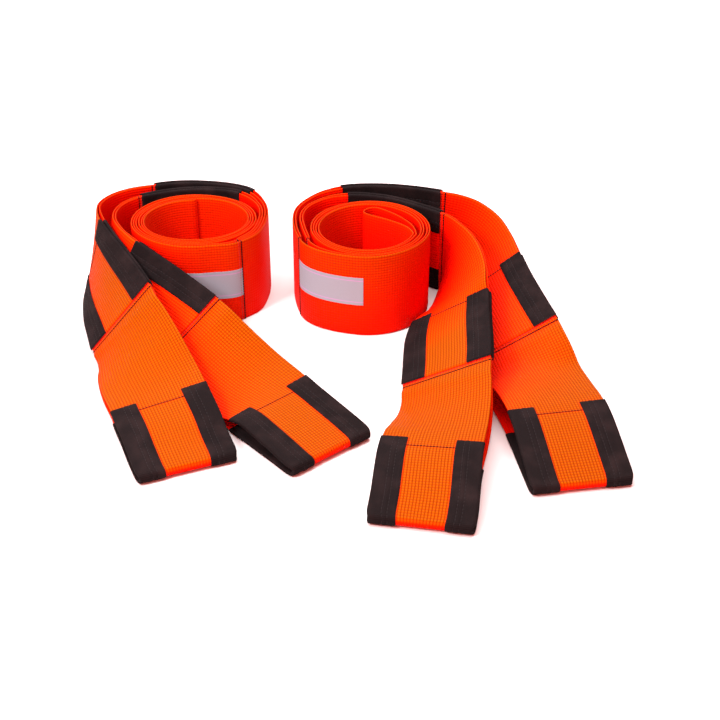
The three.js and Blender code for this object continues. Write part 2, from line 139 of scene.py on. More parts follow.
# Routes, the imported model's own. A tail's stations are (x, y, z, tilt): 90 degrees of tilt is webbing on
# its edge and 0 is webbing lying flat. In an end loop, whose two layers part, z and tilt are the upper
# layer's, and the lower layer's follow them. The roll's webbing runs on into the near loops' roll_layer.
# The roll is a spiral; turn -1 winds it clockwise seen from above, drift moves its middle along x in its
# first turn, and stretch makes it longer along x than along y. Where the doubled webbing opens into a
# teardrop, crown lists points round it. Each wave of an end loop is (distance past the last tack, slant,
# reach, height).
STRAPS = {
    "right": {
        "roll": {
            "centre": (0.0065, 0.09),
            "drift": 0.001,
            "radius": 0.0396,
            "stretch": 0.0006,
            "pitch": 0.0047,
            "start_angle": -15,
            "turn": -1,
            "sweep": 810,
            "crown": [
                (0.04, 0.0905),
                (0.026, 0.1015),
                (0.012, 0.11),
                (0.0045, 0.1155),
                (0.003, 0.1195),
                (0.0055, 0.1245),
                (0.014, 0.1275),
                (0.027, 0.118),
                (0.038, 0.105),
                (0.045, 0.092),
            ],
        },
        "roll_layer": LOWER,
        "label_middle": 0.043,
        "outer": {
            "waves": [(0.009, -0.11, 0.005, 0.0009), (0.030, 0.2, 0.011, -0.0009)],
            "near": [
                (-0.0505, 0.073, 0.03815, 90),
                (-0.0548, 0.092, 0.03815, 90),
                (-0.0566, 0.113, 0.03815, 90),
                (-0.0536, 0.13, 0.03815, 90),
                (-0.0445, 0.146, 0.03815, 90),
                (-0.03, 0.158, 0.0393, 90),
                (-0.008, 0.167, 0.0393, 90),
                (0.022, 0.168, 0.0393, 90),
                (0.05, 0.163, 0.0393, 90),
                (0.076, 0.1545, 0.0393, 90),
            ],
            "middle": [
                (0.091, 0.142, 0.0375, 72),
                (0.101, 0.125, 0.035, 57),
                (0.105, 0.106, 0.0325, 46),
                (0.1075, 0.084, 0.0295, 38),
                (0.1115, 0.06, 0.0275, 34),
                (0.117, 0.035, 0.026, 32),
                (0.1225, 0.012, 0.0245, 30),
                (0.128, -0.009, 0.0225, 27),
            ],
            "end": [
                (0.133, -0.031, 0.0195, 15, 0.0156, 16),
                (0.138, -0.053, 0.0195, 4, 0.0075, 7),
                (0.1435, -0.075, 0.0215, 0, 0.004, 1),
                (0.1485, -0.097, 0.023, 0, 0.0032, 0),
                (0.152, -0.116, 0.0215, 0, 0.0032, 0),
                (0.155, -0.135, 0.0175, 0, 0.0032, 0),
                (0.158, -0.154, 0.0125, 0, 0.0032, 0),
                (0.161, -0.1725, 0.0074, 0, 0.0032, 0),
            ],
        },
        "inner": {
            "waves": [(0.010, 0.08, 0.005, 0.0009), (0.033, -0.15, 0.012, -0.0009)],
            "near": [
                (-0.0435, 0.072, 0.03815, 90),
                (-0.048, 0.092, 0.03815, 90),
                (-0.0506, 0.112, 0.03815, 90),
                (-0.0466, 0.129, 0.03815, 90),
                (-0.036, 0.142, 0.03815, 90),
                (-0.02, 0.149, 0.0393, 90),
                (0.0, 0.1505, 0.0393, 90),
                (0.025, 0.1445, 0.0393, 90),
                (0.049, 0.131, 0.0393, 90),
                (0.0735, 0.113, 0.0393, 90),
            ],
            "middle": [
                (0.0785, 0.093, 0.0385, 73),
                (0.0815, 0.073, 0.0365, 60),
                (0.0805, 0.053, 0.0335, 48),
                (0.076, 0.033, 0.0295, 35),
                (0.0725, 0.009, 0.0275, 29),
                (0.071, -0.014, 0.0265, 27),
                (0.0698, -0.038, 0.026, 26),
                (0.068, -0.06, 0.0245, 26),
            ],
            "end": [
                (0.0665, -0.08, 0.022, 24, 0.0165, 18),
                (0.0635, -0.1, 0.02, 18, 0.0085, 8),
                (0.0595, -0.119, 0.0205, 11, 0.0045, 2),
                (0.055, -0.138, 0.023, 5, 0.0032, 0),
                (0.051, -0.158, 0.0225, 3, 0.0032, 0),
                (0.0483, -0.178, 0.0185, 2, 0.0032, 0),
                (0.0458, -0.1975, 0.013, 1, 0.0032, 0),
                (0.0425, -0.2167, 0.0074, 0, 0.0032, 0),
            ],
        },
    },
    "left": {
        "roll": {
            "centre": (-0.142, 0.105),
            "drift": 0.0,
            "radius": 0.0404,
            "stretch": 0.0034,
            "pitch": 0.0043,
            "start_angle": 95,
            "turn": 1,
            "sweep": 910,
            "crown": [],
        },
        "roll_layer": UPPER,
        "label_middle": 0.0375,
        "outer": {
            "waves": [(0.010, 0.11, 0.0055, 0.0011), (0.034, -0.2, 0.012, -0.0010)],
            "near": [
                (-0.0998, 0.067, 0.03815, 90),
                (-0.0874, 0.0814, 0.03815, 90),
                (-0.082, 0.105, 0.03815, 90),
                (-0.082, 0.127, 0.03815, 90),
                (-0.088, 0.146, 0.03815, 90),
                (-0.099, 0.16, 0.0393, 90),
                (-0.116, 0.169, 0.0393, 90),
                (-0.14, 0.174, 0.0393, 90),
                (-0.165, 0.174, 0.0393, 90),
                (-0.188, 0.168, 0.0393, 90),
            ],
            "middle": [
                (-0.207, 0.158, 0.0405, 90),
                (-0.222, 0.144, 0.0415, 88),
                (-0.231, 0.125, 0.0425, 84),
                (-0.2305, 0.103, 0.042, 77),
                (-0.224, 0.08, 0.0395, 69),
                (-0.215, 0.057, 0.037, 61),
                (-0.205, 0.035, 0.034, 54),
                (-0.195, 0.012, 0.031, 47),
            ],
            "end": [
                (-0.186, -0.01, 0.029, 40, 0.0262, 36),
                (-0.1775, -0.031, 0.0256, 31, 0.0203, 25),
                (-0.169, -0.0515, 0.022, 20, 0.0144, 18),
                (-0.16, -0.0715, 0.0195, 11, 0.013, 15),
                (-0.152, -0.092, 0.0185, 6, 0.012, 11.5),
                (-0.1435, -0.112, 0.0155, 3, 0.009, 8),
                (-0.1355, -0.132, 0.0105, 0, 0.004, 1),
                (-0.1275, -0.1515, 0.0074, 0, 0.0032, 0),
            ],
        },
        "inner": {
            "waves": [(0.010, 0.10, 0.0050, 0.0010), (0.031, -0.2, 0.011, -0.0009)],
            "near": [
                (-0.103, 0.0692, 0.03815, 90),
                (-0.0913, 0.0842, 0.03815, 90),
                (-0.0864, 0.105, 0.03815, 90),
                (-0.0864, 0.125, 0.03815, 90),
                (-0.0925, 0.141, 0.03815, 90),
                (-0.104, 0.153, 0.0393, 90),
                (-0.122, 0.16, 0.0393, 90),
                (-0.148, 0.1615, 0.0393, 90),
                (-0.174, 0.156, 0.0393, 90),
                (-0.197, 0.145, 0.0393, 90),
            ],
            "middle": [
                (-0.212, 0.128, 0.0405, 86),
                (-0.2185, 0.106, 0.0415, 79),
                (-0.215, 0.083, 0.0415, 70),
                (-0.2048, 0.0623, 0.0408, 61),
                (-0.1892, 0.043, 0.0388, 53),
                (-0.1725, 0.025, 0.0368, 46),
                (-0.1555, 0.0075, 0.034, 39),
                (-0.139, -0.0105, 0.0315, 33),
            ],
            "end": [
                (-0.124, -0.027, 0.027, 28, 0.0235, 26),
                (-0.108, -0.0415, 0.02, 24, 0.014, 18),
                (-0.0925, -0.0555, 0.015, 17, 0.0086, 8),
                (-0.077, -0.0705, 0.0135, 9, 0.0049, 3),
                (-0.063, -0.0865, 0.0145, 1, 0.0032, 0),
                (-0.0495, -0.102, 0.0125, 0, 0.0032, 0),
                (-0.036, -0.1175, 0.01, 0, 0.0032, 0),
                (-0.023, -0.133, 0.0074, 0, 0.0032, 0),
            ],
        },
    },
}

# ---------------------------------------------------------------- ribbons


def unit(vectors):
    return vectors / np.linalg.norm(vectors, axis=-1, keepdims=True)


def smoothstep(x, start, end):
    t = np.clip((x - start) / (end - start), 0, 1)
    return t * t * (3 - 2 * t)


def bump(x, reach):
    return np.exp(-((x / reach) ** 2))


def lengths_of(points):
    steps = np.linalg.norm(np.diff(points, axis=0), axis=1)
    return np.concatenate([[0.0], np.cumsum(steps)])


class Route:
    """A uniform Catmull-Rom spline through rows of numbers, measured along its length."""

    def __init__(self, rows):
        rows = np.array(rows, float)
        padded = np.vstack([2 * rows[0] - rows[1], rows, 2 * rows[-1] - rows[-2]])
        t = np.linspace(0, 1, DETAIL, endpoint=False)[:, None]
        spans = []
        for before, a, b, after in zip(padded, padded[1:], padded[2:], padded[3:]):
            leave = (b - before) / 2
            arrive = (after - a) / 2
            rise = b - a
            square = 3 * rise - 2 * leave - arrive
            cube = leave + arrive - 2 * rise
            spans.append(a + leave * t + square * t**2 + cube * t**3)
        self.samples = np.vstack([*spans, rows[-1:]])
        self.lengths = lengths_of(self.samples[:, :3])

    def length_at(self, row):
        return self.lengths[row * DETAIL]

    def at(self, lengths):
        return np.stack([np.interp(lengths, self.lengths, c) for c in self.samples.T], axis=1)


class Ribbon:
    """A strip of webbing. outer is the side of it that shows, 1 for the side its face looks to."""

    def __init__(self, along, points, widths, thickness, outer, relief):
        self.along = along
        self.points = points
        self.widths = widths
        self.faces = unit(np.cross(np.gradient(points, axis=0), widths))
        self.thickness = thickness
        self.breadth = np.ones(len(along))
        self.outer = outer
        self.relief = relief

    def column(self, values, along):
        return np.stack([np.interp(along, self.along, c) for c in values.T], axis=-1)

    def place(self, along, across, height):
        """Points of the frame. The three arrays broadcast against each other."""
        along, across, height = np.broadcast_arrays(along, across, height)
        lift = height * np.interp(along, self.along, self.thickness) + self.relief(along, across)
        reach = across * np.interp(along, self.along, self.breadth)
        sideways = self.column(self.widths, along) * reach[..., None]
        return self.column(self.points, along) + sideways + self.column(self.faces, along) * lift[..., None]

    def steps(self, start, stop):
        inside = self.along[(self.along > start + FINE_STEP / 2) & (self.along < stop - FINE_STEP / 2)]
        return np.concatenate([[start], inside, [stop]])


def tack_pinch(distance):
    """1 at a tack, fading to 0 where two layers are free of each other."""
    first, last = TACK_ROWS
    before = smoothstep(first - distance, 0, PINCH_FADE[0])
    past = smoothstep(distance - last, 0, PINCH_FADE[1])
    return (1 - before) * (1 - past)


def tack_thickness(distance):
    """How the rows of stitches of a tack squeeze the webbing."""
    return 1 - sum(dip * bump(distance - row, TACK_DIP_REACH) for dip, row in zip(TACK_DIPS, TACK_ROWS))


def stations_between(start, stop, tacks):
    """Even steps, with fine ones next to the tacks."""
    coarse = np.linspace(start, stop, max(2, round((stop - start) / STEP)) + 1)
    fine = [t + np.arange(-FINE_REACH, FINE_REACH + FINE_STEP / 2, FINE_STEP) for t in tacks]
    far = np.all([np.abs(coarse - t) > FINE_REACH + FINE_STEP for t in tacks], axis=0)
    merged = np.concatenate([coarse[far], *fine, [start, stop]])
    merged = merged[(merged >= start) & (merged <= stop)]
    return np.unique(np.round(merged, 7))


class Tail:
    """The two layers of one tail, as a function of the distance from the first tack."""

    def __init__(self, spec):
        self.waves = spec["waves"]
        rows = [row if len(row) == 6 else (*row, *row[2:4]) for loop in LOOPS for row in spec[loop]]
        self.route = Route(rows)
        near_end = self.route.length_at(len(spec["near"]) - 1)
        middle_end = self.route.length_at(len(spec["near"]) + len(spec["middle"]) - 1)
        tip = self.route.lengths[-1]
        self.tacks = {"near": (0.0, near_end), "middle": (near_end, middle_end), "end": (middle_end, tip)}
        self.sewn = (0.0, near_end, middle_end)
        self.tack_width = None  # until it is measured, frame makes no layer follow it
        self.tack_width = self.frame(np.array([middle_end]), UPPER_COLUMNS)[1]

    def frame(self, lengths, columns):
        """Middle points, widths and faces along the route. columns says which numbers are z and tilt."""
        z, tilt = columns

        def pick(values):
            return self.route.at(np.clip(values, 0, self.route.lengths[-1]))[:, [0, 1, z]]

        tangents = unit(pick(lengths + PROBE) - pick(lengths - PROBE))
        level = unit(np.cross(UP, tangents))
        upright = np.cross(tangents, level)
        angle = np.radians(self.route.at(lengths)[:, [tilt]])
        widths = level * np.cos(angle) + upright * np.sin(angle)
        faces = np.cross(tangents, widths)
        if self.tack_width is not None:
            past = lengths - self.sewn[-1]
            follow = np.where(past > 0, 1 - smoothstep(past, 0, TACK_REACH), 0)[:, None]
            widths = unit(widths + (self.tack_width - widths) * follow)
        return pick(lengths) + LAYOUT_ORIGIN, widths, faces

    def relief(self, lengths, across):
        """Soft waves of an end loop. Each is a ridge or a hollow that runs across it at a slant."""
        rise = 0.0
        for distance, slant, reach, height in self.waves:
            rise = rise + height * bump(lengths - self.sewn[-1] - distance - slant * across, reach)
        free = smoothstep(lengths - self.sewn[-1], 0, WAVE_FADE)
        return rise * free * (1 - smoothstep(lengths, *self.bound("end")))

    def bound(self, loop):
        """Where the bound stretch of a loop starts and ends."""
        start, stop = self.tacks[loop]
        if loop == "end":
            return stop - TIP_BOUND_LENGTH, stop
        return stop - TACK_MARGIN - BOUND_LENGTH, stop - TACK_MARGIN

    def pitch(self, lengths, loop):
        pitch = np.full(len(lengths), LAYER_PITCH)
        if loop != "end":
            start, stop = self.bound(loop)
            part = smoothstep(lengths, start - PITCH_RAMP, start) * (lengths <= stop)
            pitch = pitch + (BOUND_PITCH - LAYER_PITCH) * part
        return pitch

    def layer(self, loop, side):
        """Lengths, points, widths and thicknesses of one layer of a loop."""
        start, stop = self.tacks[loop]
        lengths = stations_between(start, stop, self.sewn)
        parted = loop == "end" and side == LOWER
        points, widths, faces = self.frame(lengths, LOWER_COLUMNS if parted else UPPER_COLUMNS)
        pinch = np.max([tack_pinch(lengths - t) for t in self.sewn], axis=0)
        thickness = np.min([tack_thickness(lengths - t) for t in self.sewn], axis=0)
        gap = (self.pitch(lengths, loop) - WEBBING_THICKNESS) * (1 - pinch)
        offset = (WEBBING_THICKNESS * thickness + gap) / 2
        return lengths, points + faces * (side * offset)[:, None], widths, thickness


def open_loop(tail, loop):
    """The two ribbons of a near or a middle loop, by name."""
    return {
        name: Ribbon(*tail.layer(loop, side), outer=side, relief=tail.relief)
        for name, side in (("lower", LOWER), ("upper", UPPER))
    }


def round_loop(tail):
    """The one ribbon of an end loop: out along the lower layer, round the tip, back along the upper."""
    lengths, low, low_widths, thickness = tail.layer("end", LOWER)
    _, high, high_widths, _ = tail.layer("end", UPPER)
    middle = (low[-1] + high[-1]) / 2
    arm = low[-1] - middle
    forward = unit(low[-1] - low[-2]) * np.linalg.norm(arm)
    turns = np.linspace(0, math.pi, TIP_FOLD_STEPS + 1)[1:-1, None]
    fold = middle + arm * np.cos(turns) + forward * np.sin(turns)
    fold_widths = unit(low_widths[-1] + (high_widths[-1] - low_widths[-1]) * turns / math.pi)
    fold_length = math.pi * np.linalg.norm(arm)
    tip = lengths[-1]
    fold_along = tip + fold_length * turns[:, 0] / math.pi
    along = np.concatenate([lengths, fold_along, 2 * tip + fold_length - lengths[::-1]])
    points = np.vstack([low, fold, high[::-1]])
    widths = np.vstack([low_widths, fold_widths, high_widths[::-1]])
    thickness = np.concatenate([thickness, np.ones(len(fold)), thickness[::-1]])
    fold_middle = tip + fold_length / 2

    def relief(run, across):
        """The tail's own waves. The ribbon's face looks the other way on its way back."""
        out = run < fold_middle
        return tail.relief(np.where(out, run, 2 * fold_middle - run), across) * np.where(out, 1, -1)

    ribbon = Ribbon(along, points, widths, thickness, outer=-1, relief=relief)
    ribbon.breadth = 1 - TIP_NARROWING * bump(along - fold_middle, TIP_REACH)
    return ribbon


def spiral_arm(roll, offset):
    """One half of the doubled webbing, from the middle of the roll outwards, in the layout."""
    swept = np.arange(0, roll["sweep"] + ARM_DEGREES / 2, ARM_DEGREES)
    turns = (swept - (0 if roll["crown"] else FOLD_LEAD)) / 360
    angle = np.radians(roll["start_angle"] + roll["turn"] * swept)
    radius = roll["radius"] + offset + roll["pitch"] * turns
    drift = roll["drift"] * np.minimum(turns, 1)
    x = roll["centre"][0] + drift + (radius + roll["stretch"]) * np.cos(angle)
    y = roll["centre"][1] + (radius - roll["stretch"]) * np.sin(angle)
    return np.stack([x, y, np.full(len(x), STANDING)], axis=1)


def roll_arm(strap, tail, offset):
    """A spiral arm with a round last span to the first tack, where it joins one layer of the tail."""
    _, points, _, _ = tail.layer("near", strap["roll_layer"])
    end = points[0] - LAYOUT_ORIGIN
    _, widths, faces = tail.frame(np.zeros(1), UPPER_COLUMNS)
    arrival = np.cross(widths, faces)[0]
    spiral = spiral_arm(strap["roll"], offset)
    start = spiral[-1]
    heading = unit(start - spiral[-2])
    handle = SPAN_HANDLE * np.linalg.norm(end - start)
    controls = (start, start + heading * handle, end - arrival * handle, end)
    t = np.linspace(0, 1, SPAN_STEPS + 1)[1:, None]
    weights = ((1 - t) ** 3, 3 * t * (1 - t) ** 2, 3 * t**2 * (1 - t), t**3)
    return np.vstack([spiral, sum(weight * point for weight, point in zip(weights, controls))])


def roll_ribbon(strap, tails):
    """The doubled middle of a strap: in along one arm, round the fold, and out along the other."""
    inner = roll_arm(strap, tails["inner"], 0.0)
    outer = roll_arm(strap, tails["outer"], LAYER_PITCH)
    crown = [(x, y, STANDING) for x, y in strap["roll"]["crown"]]
    if not crown:
        middle = (inner[0] + outer[0]) / 2
        arm = inner[0] - middle
        forward = unit(inner[0] - inner[1]) * np.linalg.norm(arm)
        turns = np.linspace(0, math.pi, ROLL_FOLD_STEPS + 1)[1:-1, None]
        crown = middle + arm * np.cos(turns) + forward * np.sin(turns)
    route = Route(np.vstack([inner[::-1], crown, outer]))
    length = route.lengths[-1]
    along = stations_between(0.0, length, (0.0, length))
    thickness = np.minimum(tack_thickness(-along), tack_thickness(along - length))
    points = route.at(along) + LAYOUT_ORIGIN
    free = smoothstep(along, 0, BOUND_LENGTH) * (1 - smoothstep(along, length - BOUND_LENGTH, length))
    slow, quick = (np.sin(along * wave + phase) for wave, phase in zip(RIM_WAVES, (0, 2)))
    points = points + UP * (RIM_RISE * (slow + quick + 2) / 4 * free)[:, None]

    def relief(run, across):
        """The turns lean in and out a little towards their edges."""
        return TURN_LEAN * np.sin(run * LEAN_WAVE) * across / HALF_WIDTH

    widths = np.tile(UP, (len(along), 1))
    return Ribbon(along, points, widths, thickness, outer=strap["roll_layer"], relief=relief)


# ---------------------------------------------------------------- meshes


def make_piece(name, vertices, faces, uvs, material):
    mesh = bpy.data.meshes.new(name)
    mesh.from_pydata(vertices.tolist(), [], faces.tolist())
    corners = np.empty(len(mesh.loops), dtype=np.int32)
    mesh.loops.foreach_get("vertex_index", corners)
    layer = mesh.uv_layers.new(name="weave")
    layer.data.foreach_set("uv", uvs[corners].astype(np.float32).ravel())
    mesh.shade_smooth()
    mesh.set_sharp_from_angle(angle=SMOOTH_ANGLE)
    mesh.materials.append(material)
    mesh.validate()
    piece = bpy.data.objects.new(name, mesh)
    bpy.context.scene.collection.objects.link(piece)
    return piece


def signed_volume(vertices, faces):
    a, b, c, d = (vertices[faces[:, k]] for k in range(4))
    return (np.cross(b - a, c - a) * a).sum() + (np.cross(c - a, d - a) * a).sum()


def sweep(ribbon, along, outer_side, inner_side):
    """Vertices, faces and texture coordinates of a closed strip on a ribbon.

    The strip's section lies between two rows of (across, height) points, from one edge to the other."""
    section = np.vstack([outer_side, inner_side[::-1]])
    count = len(section)
    vertices = ribbon.place(along[:, None], section[None, :, 0], section[None, :, 1]).reshape(-1, 3)
    i, j = np.meshgrid(np.arange(len(along) - 1), np.arange(count), indexing="ij")
    here, beside = i * count + j, i * count + (j + 1) % count
    sides = np.stack([here, beside, beside + count, here + count], axis=-1).reshape(-1, 4)
    k = np.arange(len(outer_side) - 1)
    cap = np.stack([k + 1, k, count - 1 - k, count - 2 - k], axis=-1)
    faces = np.vstack([sides, cap, cap[:, ::-1] + (len(along) - 1) * count])
    if signed_volume(vertices, faces) < 0:
        faces = faces[:, ::-1]
    run = lengths_of(outer_side)
    u = np.concatenate([run, run[::-1]]) + outer_side[0, 0]
    uvs = np.stack(np.broadcast_arrays(u[None, :], along[:, None]), axis=-1).reshape(-1, 2)
    return vertices, faces, uvs


def join_parts(parts):
    """Several (vertices, faces, uvs) as one."""
    offsets = np.cumsum([0] + [len(vertices) for vertices, _, _ in parts])
    faces = [faces + offset for (_, faces, _), offset in zip(parts, offsets)]
    return np.vstack([p[0] for p in parts]), np.vstack(faces), np.vstack([p[2] for p in parts])


def webbing_section():
    """The upper and lower sides of the webbing's section, thinner and rounded at its edges."""
    edge = SELVEDGE * np.array(SELVEDGE_POINTS)
    inside = np.linspace(-HALF_WIDTH + SELVEDGE, HALF_WIDTH - SELVEDGE, WEBBING_ACROSS)[1:-1]
    across = np.concatenate([-HALF_WIDTH + edge, inside, HALF_WIDTH - edge[::-1]])
    from_edge = HALF_WIDTH - np.abs(across)
    taper = SELVEDGE_THICKNESS + (1 - SELVEDGE_THICKNESS) * smoothstep(from_edge, 0, SELVEDGE)
    rounding = np.sqrt(np.clip(from_edge / SELVEDGE_ROUND, SELVEDGE_BLUNTNESS, 1))
    height = HALF_THICKNESS * taper * rounding
    return np.stack([across, height], axis=1), np.stack([across, -height], axis=1)


def binding_section(edge):
    """The outside and inside of a binding that wraps the edge. edge is 1 for head and -1 for foot."""
    flat = np.linspace(0, BINDING_REACH - BINDING_ROUND, BINDING_ACROSS)
    groove = BINDING_GROOVE * sum(bump(flat - row, BINDING_GROOVE_REACH) for row in BINDING_ROWS)
    ridge = BINDING_RIDGE * bump(flat - sum(BINDING_ROWS) / 2, BINDING_RIDGE_REACH)
    proud = BINDING_PROUD * (1 - BINDING_MOUTH_DROP * bump(flat, BINDING_MOUTH_REACH))
    mouth = HALF_WIDTH - BINDING_REACH
    upper = np.stack([mouth + flat, HALF_THICKNESS + proud - groove + ridge], axis=1)
    turn = np.radians(np.linspace(90, -90, BINDING_TURN_STEPS + 1))[1:-1]
    centre = HALF_WIDTH + BINDING_PROUD - BINDING_ROUND
    tall = HALF_THICKNESS + BINDING_PROUD
    wrap = np.stack([centre + BINDING_ROUND * np.cos(turn), tall * np.sin(turn)], axis=1)
    outside = np.vstack([upper, wrap, upper[::-1] * [1, -1]])
    inner_edge = HALF_WIDTH + BINDING_AIR
    depth = np.clip((inner_edge - outside[:, 0]) / INNER_ROUND, 0, 1)
    rounding = np.maximum(np.sqrt(1 - (1 - depth) ** 2), LEAST_ROUNDING)
    inner_height = (HALF_THICKNESS + BINDING_AIR) * rounding * np.sign(outside[:, 1])
    inside = np.stack([np.minimum(outside[:, 0], inner_edge), inner_height], axis=1)
    return outside * [edge, 1], inside * [edge, 1]


def stitch_template():
    """A short length of thread along x that dips into the surface at both ends; z is up."""
    stations = np.array([-1.0, -0.8, -0.3, 0.3, 0.8, 1.0])
    radii = THREAD_RADIUS * np.array([0.35, 0.85, 1.0, 1.0, 0.85, 0.35])
    heights = THREAD_RADIUS * np.array([-0.9, -0.1, 0.35, 0.35, -0.1, -0.9])
    sides = 6
    angles = np.arange(sides) * 2 * math.pi / sides
    rings = [
        np.stack([np.full(sides, x * STITCH_LENGTH / 2), r * np.cos(angles), h + r * np.sin(angles)], axis=1)
        for x, r, h in zip(stations, radii, heights)
    ]
    vertices = np.vstack(rings)
    i, j = np.meshgrid(np.arange(len(stations) - 1), np.arange(sides), indexing="ij")
    here, beside = i * sides + j, i * sides + (j + 1) % sides
    walls = np.stack([here, here + sides, beside + sides, beside], axis=-1).reshape(-1, 4)
    cap = np.array([[0, 1, 2, 3], [0, 3, 4, 5]])
    far_cap = cap[:, ::-1] + (len(stations) - 1) * sides
    return vertices, np.vstack([walls, cap, far_cap])


STITCH = stitch_template()


def stitch_row(ribbon, along, across, height, side, weight):
    """Stitches centred on a line of points of a ribbon. along or across runs, the other is one number.

    weight is how stout the thread is."""
    along, across = np.broadcast_arrays(np.asarray(along, float), np.asarray(across, float))
    centres = ribbon.place(along, across, height * side)
    directions = unit(np.gradient(centres, axis=0))
    normals = ribbon.column(ribbon.faces, along) * side
    sideways = unit(np.cross(normals, directions))
    normals = np.cross(directions, sideways)
    template, faces = STITCH
    template = template * [1.0, weight, weight]
    axes = np.stack([directions, sideways, normals], axis=1)
    vertices = (centres[:, None, :] + np.einsum("vk,skx->svx", template, axes)).reshape(-1, 3)
    offsets = (np.arange(len(centres)) * len(template))[:, None, None]
    every = (faces[None] + offsets).reshape(-1, 4)
    uvs = np.tile(template[:, :2], (len(centres), 1))
    return vertices, every, uvs


def run_of_stitches(start, stop, pitch):
    """The middles of stitches that fill a run evenly, about a pitch apart."""
    count = max(2, round((stop - start) / pitch))
    return start + (np.arange(count) + 0.5) * (stop - start) / count


# ---------------------------------------------------------------- materials


class Shader:
    """A Principled material, and short ways to add nodes to it."""

    def __init__(self, name, roughness, **constants):
        self.material = bpy.data.materials.new(name)
        self.material.use_nodes = True
        self.nodes = self.material.node_tree.nodes
        self.links = self.material.node_tree.links
        self.bsdf = self.nodes["Principled BSDF"]
        self.bsdf.inputs["Roughness"].default_value = roughness
        for socket, value in constants.items():
            self.bsdf.inputs[socket.replace("_", " ")].default_value = value

    def feed(self, socket, value):
        if hasattr(value, "is_output"):
            self.links.new(value, socket)
        else:
            socket.default_value = value

    def math(self, operation, *values):
        node = self.nodes.new("ShaderNodeMath")
        node.operation = operation
        for socket, value in zip(node.inputs, values):
            self.feed(socket, value)
        return node.outputs[0]

    def uv(self):
        """How far across and how far along the strip, in metres."""
        node = self.nodes.new("ShaderNodeUVMap")
        node.uv_map = "weave"
        split = self.nodes.new("ShaderNodeSeparateXYZ")
        self.links.new(node.outputs[0], split.inputs[0])
        return split.outputs[0], split.outputs[1]

    def noise(self, scale, detail):
        where = self.nodes.new("ShaderNodeTexCoord")
        node = self.nodes.new("ShaderNodeTexNoise")
        node.inputs["Scale"].default_value = scale
        node.inputs["Detail"].default_value = detail
        self.links.new(where.outputs["Object"], node.inputs["Vector"])
        return node.outputs["Fac"]

    def between(self, factor, dark, light):
        """A colour from dark at factor 0 to light at factor 1."""
        node = self.nodes.new("ShaderNodeMix")
        node.data_type = "RGBA"
        self.feed(node.inputs["Factor"], factor)
        for socket, colour in ((node.inputs[6], dark), (node.inputs[7], light)):
            if isinstance(colour, tuple):
                colour = (*colour, 1.0)
            self.feed(socket, colour)
        return node.outputs[2]

    def openness(self, distance):
        """1 where a surface is open to the light and 0 far in between layers, as a mask for painted shade.
        """
        node = self.nodes.new("ShaderNodeAmbientOcclusion")
        node.samples = 8
        node.inputs["Distance"].default_value = distance
        return node.outputs["AO"]

    def upward(self):
        """1 where a surface looks 30 degrees or more above the level, 0 where it looks sideways or down."""
        geometry = self.nodes.new("ShaderNodeNewGeometry")
        split = self.nodes.new("ShaderNodeSeparateXYZ")
        self.links.new(geometry.outputs["True Normal"], split.inputs[0])
        rise = self.math("MULTIPLY", split.outputs[2], 2.0)
        return self.math("MINIMUM", self.math("MAXIMUM", rise, 0.0), 1.0)

    def colour(self, value):
        self.feed(self.bsdf.inputs["Base Color"], value)

    def relief(self, height, depth):
        node = self.nodes.new("ShaderNodeBump")
        node.inputs["Strength"].default_value = 1.0
        node.inputs["Distance"].default_value = depth
        self.links.new(height, node.inputs["Height"])
        self.links.new(node.outputs[0], self.bsdf.inputs["Normal"])

    def cords(self, position, pitch):
        """A row of round cords side by side: 1 on top of each, 0 between them."""
        phase = self.math("MULTIPLY", self.math("DIVIDE", position, pitch), math.pi)
        return self.math("ABSOLUTE", self.math("SINE", phase))

    def scaled(self, value, factor, base):
        """value times factor, plus base."""
        return self.math("ADD", self.math("MULTIPLY", value, factor), base)


def webbing_material():
    """Ribs run along the webbing and picks cross them, which leaves a grid of small cushions with painted
    shade in the hollows between them.

    The yarn is orange; upright faces and faces between layers are painted a deeper red, as painted shade."""
    weave_pitch, weave_depth = 0.0024, 0.00045
    rib_roundness, pick_roundness = 0.6, 0.55
    pick_share = 0.75
    # Painted shade: the weave's hollows get the darker colour, its cushions the lighter.
    shaded_hollow, cushion = (0.145, 0.0062, 0.0001), (0.285, 0.068, 0.0006)
    # The second colour on the next line is painted shade: a dark red for upright faces and faces between
    # layers.
    blotch, painted_shade_red = (0.25, 0.034, 0.0003), (0.60, 0.0011, 0.0001)
    gloss = (1.0, 0.28, 0.02, 1.0)
    blotch_scale, blotch_detail, blotch_strength = 26.0, 3.0, 0.4
    # How much of the yarn's colour an upright face keeps under the painted shade.
    upright_painted_shade_share = 0.55
    shadow_distance, shadow_contrast = 0.07, 2.2

    shader = Shader("webbing", 0.62, Specular_IOR_Level=0.05, Specular_Tint=gloss)
    across, along = shader.uv()
    ribs = shader.math("POWER", shader.cords(across, weave_pitch), rib_roundness)
    picks = shader.math("POWER", shader.cords(along, weave_pitch), pick_roundness)
    height = shader.math("MULTIPLY", ribs, shader.scaled(picks, pick_share, 1 - pick_share))
    shader.relief(height, weave_depth)
    blotches = shader.math("MULTIPLY", shader.noise(blotch_scale, blotch_detail), blotch_strength)
    yarn = shader.between(blotches, shader.between(height, shaded_hollow, cushion), blotch)
    # Painted shade: the colour goes towards a dark red on faces that look sideways or down, and where other
    # layers hide a face from the light.
    facing_shade_mask = shader.scaled(shader.upward(), 1 - upright_painted_shade_share, upright_painted_shade_share)
    open_air = shader.math("POWER", shader.openness(shadow_distance), shadow_contrast)
    shader.colour(shader.between(shader.math("MULTIPLY", open_air, facing_shade_mask), painted_shade_red, yarn))
    return shader.material


